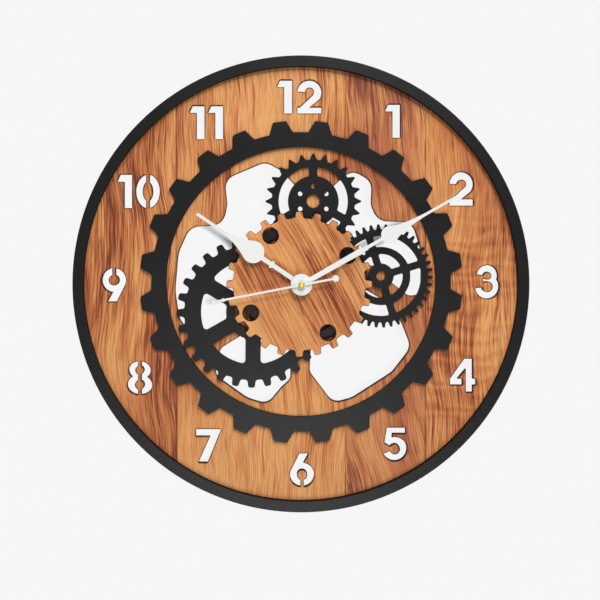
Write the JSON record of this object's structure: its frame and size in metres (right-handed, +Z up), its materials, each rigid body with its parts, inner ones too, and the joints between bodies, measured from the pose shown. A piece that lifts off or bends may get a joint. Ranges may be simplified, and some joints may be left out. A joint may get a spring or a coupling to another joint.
{
  "type": "wall clock",
  "caption": "Round wooden wall clock with cut-out numerals, applied black gears, a wooden centre gear, spade hands and a battery movement behind the board.",
  "frame": {"origin": "on the axis of the hands, where the back of the movement rests on the wall", "axes": "+Z up, +Y into the wall, so the dial faces -Y, and +X to the right as seen from the front"},
  "size_m": [0.298, 0.0435, 0.298],
  "materials": {
    "plank_wood": "satin plank-pattern wood",
    "gear_wood": "satin wood",
    "black_paint": "satin black paint",
    "case_plastic": "matte",
    "knob_plastic": "matte",
    "train_plastic": "matte",
    "brass": "turned",
    "rubber": "matte",
    "battery_jacket": "gloss jacket",
    "plated_steel": "plated",
    "circuit": "coated",
    "copper_wire": "enamelled wire",
    "white_paint": "white paint",
    "gold": "polished"
  },
  "bodies": {
    "clock": {"dial_board": "plank_wood", "ring_gear": "black_paint", "left_gear": "black_paint", "right_gear": "black_paint", "top_gear": "black_paint", "centre_spacer_ring": "black_paint", "centre_gear": "gear_wood", "movement_front_case": "case_plastic", "movement_rear_cover": "case_plastic", "threaded_bush": "brass", "rubber_washer": "rubber", "brass_washer": "brass", "hex_nut": "brass", "battery_contact_positive": "plated_steel", "battery_contact_negative": "plated_steel", "circuit_board": "circuit", "quartz_crystal": "plated_steel", "coil_core": "plated_steel", "coil_bobbin": "train_plastic", "coil_winding": "copper_wire", "stator": "plated_steel", "rim_segment_1": "black_paint", "rim_segment_2": "black_paint", "rim_segment_3": "black_paint", "rim_segment_4": "black_paint"},
    "second_group": {"second_hand": "white_paint", "second_hand_pin": "gold", "seconds_wheel": "train_plastic"},
    "minute_group": {"minute_hand": "white_paint", "cannon_pinion": "train_plastic"},
    "hour_group": {"hour_hand": "white_paint", "hour_wheel": "train_plastic"},
    "intermediate_wheel": {"intermediate_wheel": "train_plastic"},
    "rotor": {"rotor": "train_plastic"},
    "third_wheel": {"third_wheel": "train_plastic"},
    "centre_wheel": {"centre_wheel": "train_plastic"},
    "minute_wheel": {"minute_wheel": "train_plastic"},
    "setting_knob": {"setting_knob": "knob_plastic"},
    "battery": {"battery": "battery_jacket"}
  },
  "joints": [
    {"name": "second_turn", "type": "hinge", "parent": "clock", "child": "second_group", "pos_m": [0, 0, 0], "axis": [0, 1, 0], "continuous": true},
    {"name": "minute_turn", "type": "hinge", "parent": "clock", "child": "minute_group", "pos_m": [0, 0, 0], "axis": [0, 1, 0], "continuous": true},
    {"name": "hour_turn", "type": "hinge", "parent": "clock", "child": "hour_group", "pos_m": [0, 0, 0], "axis": [0, 1, 0], "continuous": true},
    {"name": "intermediate_turn", "type": "hinge", "parent": "clock", "child": "intermediate_wheel", "pos_m": [0.00438, 0, 0.00758], "axis": [0, 1, 0], "continuous": true},
    {"name": "rotor_turn", "type": "hinge", "parent": "clock", "child": "rotor", "pos_m": [0.00677, 0, 0.01173], "axis": [0, 1, 0], "continuous": true},
    {"name": "third_turn", "type": "hinge", "parent": "clock", "child": "third_wheel", "pos_m": [-0.00736, 0, 0.00425], "axis": [0, 1, 0], "continuous": true},
    {"name": "centre_turn", "type": "hinge", "parent": "clock", "child": "centre_wheel", "pos_m": [0, 0, 0], "axis": [0, 1, 0], "continuous": true},
    {"name": "minute_wheel_turn", "type": "hinge", "parent": "clock", "child": "minute_wheel", "pos_m": [0.0084, 0, 0], "axis": [0, 1, 0], "continuous": true},
    {"name": "knob_turn", "type": "hinge", "parent": "clock", "child": "setting_knob", "pos_m": [0.0168, 0, 0], "axis": [0, 1, 0], "continuous": true},
    {"name": "battery_slide", "type": "slide", "parent": "clock", "child": "battery", "axis": [0, 1, 0], "range_m": [0, 0.0165]}
  ],
  "couplings": [
    {"joint": "intermediate_turn", "follows": "second_turn", "ratio": -6},
    {"joint": "rotor_turn", "follows": "second_turn", "ratio": 30},
    {"joint": "third_turn", "follows": "second_turn", "ratio": -0.13333},
    {"joint": "centre_turn", "follows": "second_turn", "ratio": 0.016667},
    {"joint": "minute_wheel_turn", "follows": "minute_turn", "ratio": -0.33333},
    {"joint": "hour_turn", "follows": "minute_turn", "ratio": 0.083333},
    {"joint": "knob_turn", "follows": "minute_turn", "ratio": 1}
  ]
}
